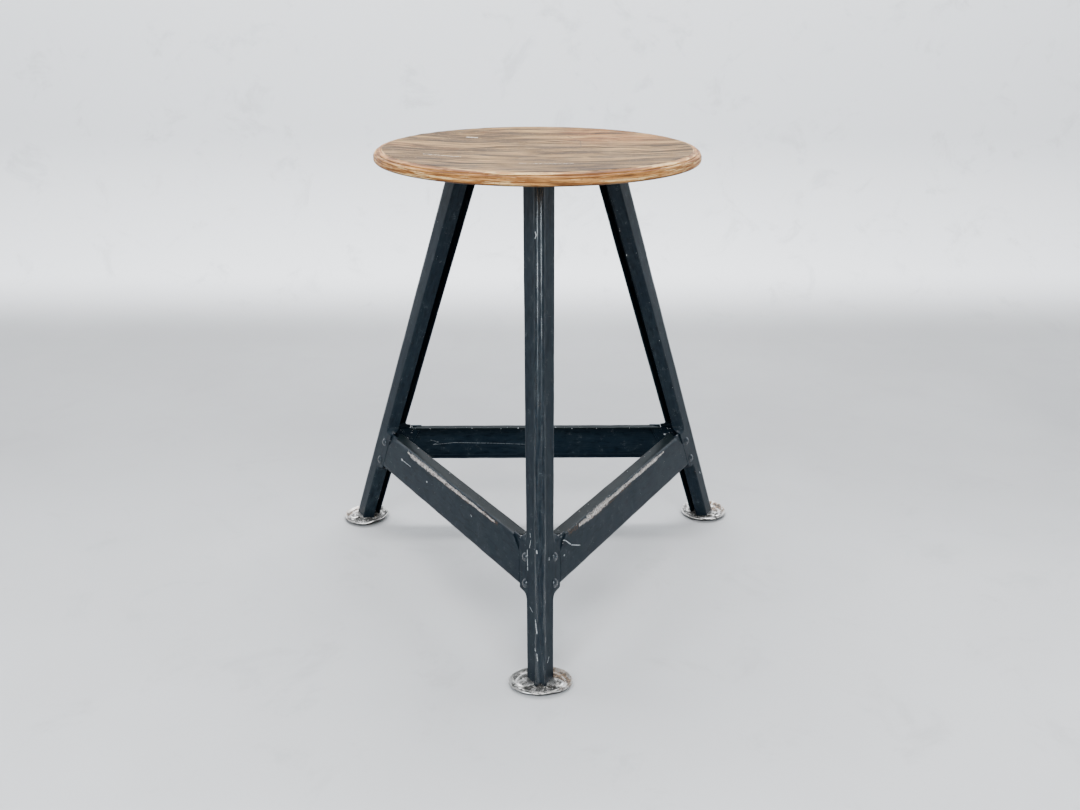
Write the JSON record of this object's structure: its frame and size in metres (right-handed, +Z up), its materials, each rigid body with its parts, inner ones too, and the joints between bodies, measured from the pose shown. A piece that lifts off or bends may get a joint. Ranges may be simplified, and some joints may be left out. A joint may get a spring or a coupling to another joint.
{
  "type": "workshop stool",
  "caption": "Low backless workshop stool with folded sheet-steel legs leaning together, a low ring of channel struts, pressed steel feet and a round dished plywood seat.",
  "frame": {"origin": "on the floor, on the seat's vertical axis", "axes": "+Z up; the front leg stands towards -Y, the two others towards +Y at 30 degrees either side; +X to the right seen from the front"},
  "size_m": [0.5042, 0.4615, 0.5],
  "materials": {
    "seat_wood": "weathered open-grain plywood, worn nearly bare, greyed, with a golden sanded edge",
    "painted_steel": "old glossy blue-grey enamel, chipped and scratched",
    "bare_steel": "worn bare steel with dark dirt and some rust"
  },
  "bodies": {
    "root": {"seat": "seat_wood", "seat_plate": "painted_steel", "seat_screws": "bare_steel", "leg_front": "painted_steel", "leg_rear_left": "painted_steel", "leg_rear_right": "painted_steel", "strut_left": "painted_steel", "strut_right": "painted_steel", "strut_rear": "painted_steel", "foot_front": "bare_steel", "foot_rear_left": "bare_steel", "foot_rear_right": "bare_steel", "front_leg_left_rivets": "painted_steel", "front_leg_right_rivets": "painted_steel", "left_leg_front_rivets": "painted_steel", "left_leg_rear_rivets": "painted_steel", "right_leg_front_rivets": "painted_steel", "right_leg_rear_rivets": "painted_steel", "top_rivets_front": "painted_steel", "top_rivets_rear_left": "painted_steel", "top_rivets_rear_right": "painted_steel", "foot_rivets_front": "bare_steel", "foot_rivets_rear_left": "bare_steel", "foot_rivets_rear_right": "bare_steel"}
  },
  "joints": []
}
